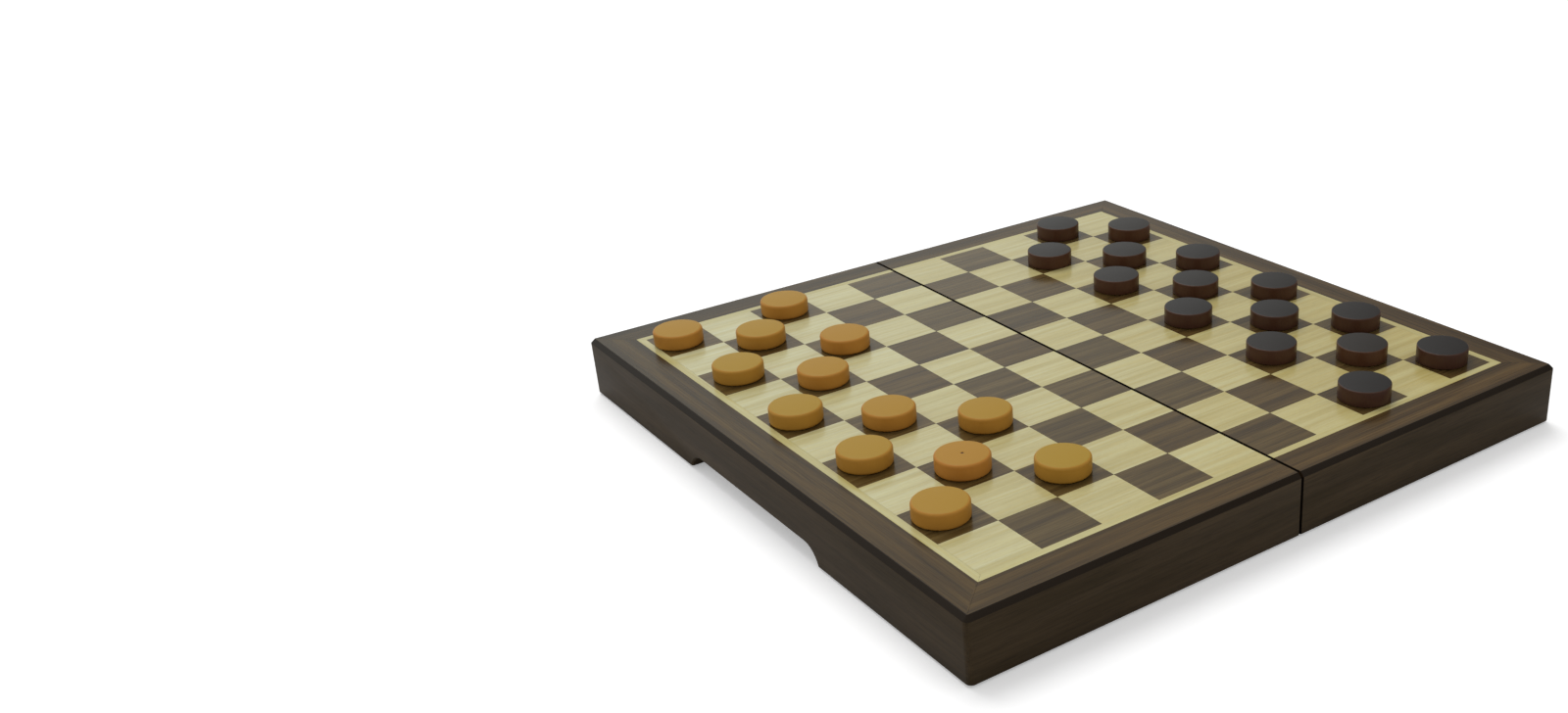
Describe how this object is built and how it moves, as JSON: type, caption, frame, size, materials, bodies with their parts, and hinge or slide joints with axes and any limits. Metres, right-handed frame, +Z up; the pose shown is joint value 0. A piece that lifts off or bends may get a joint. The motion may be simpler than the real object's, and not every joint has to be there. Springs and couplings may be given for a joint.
{
  "type": "magnetic checkers set",
  "caption": "Folding wooden draughts box with an inlaid ten by ten playing face, felt-lined trays, hidden magnets and magnetic wooden checkers.",
  "frame": {"origin": "on the table, under the middle of the fold, at the bottom of the hinge barrels with the board open flat", "axes": "+Z up out of the playing face, +X across the fold towards the right half, +Y along the fold away from the viewer"},
  "size_m": [0.2862, 0.2848, 0.0323],
  "materials": {
    "stained_rail": "dark stained, satin lacquer",
    "plywood": "bare plywood",
    "steel_sheet": "mill finish",
    "walnut_veneer": "satin lacquer",
    "maple_veneer": "satin lacquer",
    "felt": "napped",
    "magnet": "nickel plated",
    "brass": "satin",
    "pin_steel": "bright",
    "light_checker_wood": "satin lacquer",
    "dark_checker_wood": "satin lacquer"
  },
  "bodies": {
    "left_half": {"left_end_rail": "stained_rail", "left_front_rail": "stained_rail", "left_back_rail": "stained_rail", "left_hinge_rail": "stained_rail", "left_board_panel": "plywood", "left_steel_sheet": "steel_sheet", "left_walnut_squares": "walnut_veneer", "left_maple_squares": "maple_veneer", "left_stringing": "maple_veneer", "left_border": "walnut_veneer", "left_tray_lining": "felt", "left_closure_magnets": "magnet", "front_hinge_left_leaf": "brass", "rear_hinge_left_leaf": "brass", "left_hinge_screws": "brass", "hinge_pins": "pin_steel"},
    "right_half": {"right_end_rail": "stained_rail", "right_front_rail": "stained_rail", "right_back_rail": "stained_rail", "right_hinge_rail": "stained_rail", "right_board_panel": "plywood", "right_steel_sheet": "steel_sheet", "right_walnut_squares": "walnut_veneer", "right_maple_squares": "maple_veneer", "right_stringing": "maple_veneer", "right_border": "walnut_veneer", "right_tray_lining": "felt", "right_closure_magnets": "magnet", "front_hinge_right_leaf": "brass", "rear_hinge_right_leaf": "brass", "right_hinge_screws": "brass"},
    "light_checker_1": {"light_checker_1": "light_checker_wood"},
    "light_checker_2": {"light_checker_2": "light_checker_wood"},
    "light_checker_3": {"light_checker_3": "light_checker_wood"},
    "light_checker_4": {"light_checker_4": "light_checker_wood"},
    "light_checker_5": {"light_checker_5": "light_checker_wood"},
    "light_checker_6": {"light_checker_6": "light_checker_wood"},
    "light_checker_7": {"light_checker_7": "light_checker_wood"},
    "light_checker_8": {"light_checker_8": "light_checker_wood"},
    "light_checker_9": {"light_checker_9": "light_checker_wood"},
    "light_checker_10": {"light_checker_10": "light_checker_wood"},
    "light_checker_11": {"light_checker_11": "light_checker_wood"},
    "light_checker_12": {"light_checker_12": "light_checker_wood"},
    "light_checker_13": {"light_checker_13": "light_checker_wood"},
    "dark_checker_1": {"dark_checker_1": "dark_checker_wood"},
    "dark_checker_2": {"dark_checker_2": "dark_checker_wood"},
    "dark_checker_3": {"dark_checker_3": "dark_checker_wood"},
    "dark_checker_4": {"dark_checker_4": "dark_checker_wood"},
    "dark_checker_5": {"dark_checker_5": "dark_checker_wood"},
    "dark_checker_6": {"dark_checker_6": "dark_checker_wood"},
    "dark_checker_7": {"dark_checker_7": "dark_checker_wood"},
    "dark_checker_8": {"dark_checker_8": "dark_checker_wood"},
    "dark_checker_9": {"dark_checker_9": "dark_checker_wood"},
    "dark_checker_10": {"dark_checker_10": "dark_checker_wood"},
    "dark_checker_11": {"dark_checker_11": "dark_checker_wood"},
    "dark_checker_12": {"dark_checker_12": "dark_checker_wood"},
    "dark_checker_13": {"dark_checker_13": "dark_checker_wood"},
    "dark_checker_14": {"dark_checker_14": "dark_checker_wood"},
    "dark_checker_15": {"dark_checker_15": "dark_checker_wood"}
  },
  "joints": [
    {"name": "fold", "type": "hinge", "parent": "left_half", "child": "right_half", "pos_m": [0, 0, 0.001], "axis": [0, 1, 0], "range_deg": [0, 180]},
    {"name": "light_checker_1_lift", "type": "slide", "parent": "left_half", "child": "light_checker_1", "axis": [0, 0, 1], "range_m": [0, 0.03]},
    {"name": "light_checker_2_lift", "type": "slide", "parent": "left_half", "child": "light_checker_2", "axis": [0, 0, 1], "range_m": [0, 0.03]},
    {"name": "light_checker_3_lift", "type": "slide", "parent": "left_half", "child": "light_checker_3", "axis": [0, 0, 1], "range_m": [0, 0.03]},
    {"name": "light_checker_4_lift", "type": "slide", "parent": "left_half", "child": "light_checker_4", "axis": [0, 0, 1], "range_m": [0, 0.03]},
    {"name": "light_checker_5_lift", "type": "slide", "parent": "left_half", "child": "light_checker_5", "axis": [0, 0, 1], "range_m": [0, 0.03]},
    {"name": "light_checker_6_lift", "type": "slide", "parent": "left_half", "child": "light_checker_6", "axis": [0, 0, 1], "range_m": [0, 0.03]},
    {"name": "light_checker_7_lift", "type": "slide", "parent": "left_half", "child": "light_checker_7", "axis": [0, 0, 1], "range_m": [0, 0.03]},
    {"name": "light_checker_8_lift", "type": "slide", "parent": "left_half", "child": "light_checker_8", "axis": [0, 0, 1], "range_m": [0, 0.03]},
    {"name": "light_checker_9_lift", "type": "slide", "parent": "left_half", "child": "light_checker_9", "axis": [0, 0, 1], "range_m": [0, 0.03]},
    {"name": "light_checker_10_lift", "type": "slide", "parent": "left_half", "child": "light_checker_10", "axis": [0, 0, 1], "range_m": [0, 0.03]},
    {"name": "light_checker_11_lift", "type": "slide", "parent": "left_half", "child": "light_checker_11", "axis": [0, 0, 1], "range_m": [0, 0.03]},
    {"name": "light_checker_12_lift", "type": "slide", "parent": "left_half", "child": "light_checker_12", "axis": [0, 0, 1], "range_m": [0, 0.03]},
    {"name": "light_checker_13_lift", "type": "slide", "parent": "left_half", "child": "light_checker_13", "axis": [0, 0, 1], "range_m": [0, 0.03]},
    {"name": "dark_checker_1_lift", "type": "slide", "parent": "right_half", "child": "dark_checker_1", "axis": [0, 0, 1], "range_m": [0, 0.03]},
    {"name": "dark_checker_2_lift", "type": "slide", "parent": "right_half", "child": "dark_checker_2", "axis": [0, 0, 1], "range_m": [0, 0.03]},
    {"name": "dark_checker_3_lift", "type": "slide", "parent": "right_half", "child": "dark_checker_3", "axis": [0, 0, 1], "range_m": [0, 0.03]},
    {"name": "dark_checker_4_lift", "type": "slide", "parent": "right_half", "child": "dark_checker_4", "axis": [0, 0, 1], "range_m": [0, 0.03]},
    {"name": "dark_checker_5_lift", "type": "slide", "parent": "right_half", "child": "dark_checker_5", "axis": [0, 0, 1], "range_m": [0, 0.03]},
    {"name": "dark_checker_6_lift", "type": "slide", "parent": "right_half", "child": "dark_checker_6", "axis": [0, 0, 1], "range_m": [0, 0.03]},
    {"name": "dark_checker_7_lift", "type": "slide", "parent": "right_half", "child": "dark_checker_7", "axis": [0, 0, 1], "range_m": [0, 0.03]},
    {"name": "dark_checker_8_lift", "type": "slide", "parent": "right_half", "child": "dark_checker_8", "axis": [0, 0, 1], "range_m": [0, 0.03]},
    {"name": "dark_checker_9_lift", "type": "slide", "parent": "right_half", "child": "dark_checker_9", "axis": [0, 0, 1], "range_m": [0, 0.03]},
    {"name": "dark_checker_10_lift", "type": "slide", "parent": "right_half", "child": "dark_checker_10", "axis": [0, 0, 1], "range_m": [0, 0.03]},
    {"name": "dark_checker_11_lift", "type": "slide", "parent": "right_half", "child": "dark_checker_11", "axis": [0, 0, 1], "range_m": [0, 0.03]},
    {"name": "dark_checker_12_lift", "type": "slide", "parent": "right_half", "child": "dark_checker_12", "axis": [0, 0, 1], "range_m": [0, 0.03]},
    {"name": "dark_checker_13_lift", "type": "slide", "parent": "right_half", "child": "dark_checker_13", "axis": [0, 0, 1], "range_m": [0, 0.03]},
    {"name": "dark_checker_14_lift", "type": "slide", "parent": "right_half", "child": "dark_checker_14", "axis": [0, 0, 1], "range_m": [0, 0.03]},
    {"name": "dark_checker_15_lift", "type": "slide", "parent": "right_half", "child": "dark_checker_15", "axis": [0, 0, 1], "range_m": [0, 0.03]}
  ]
}
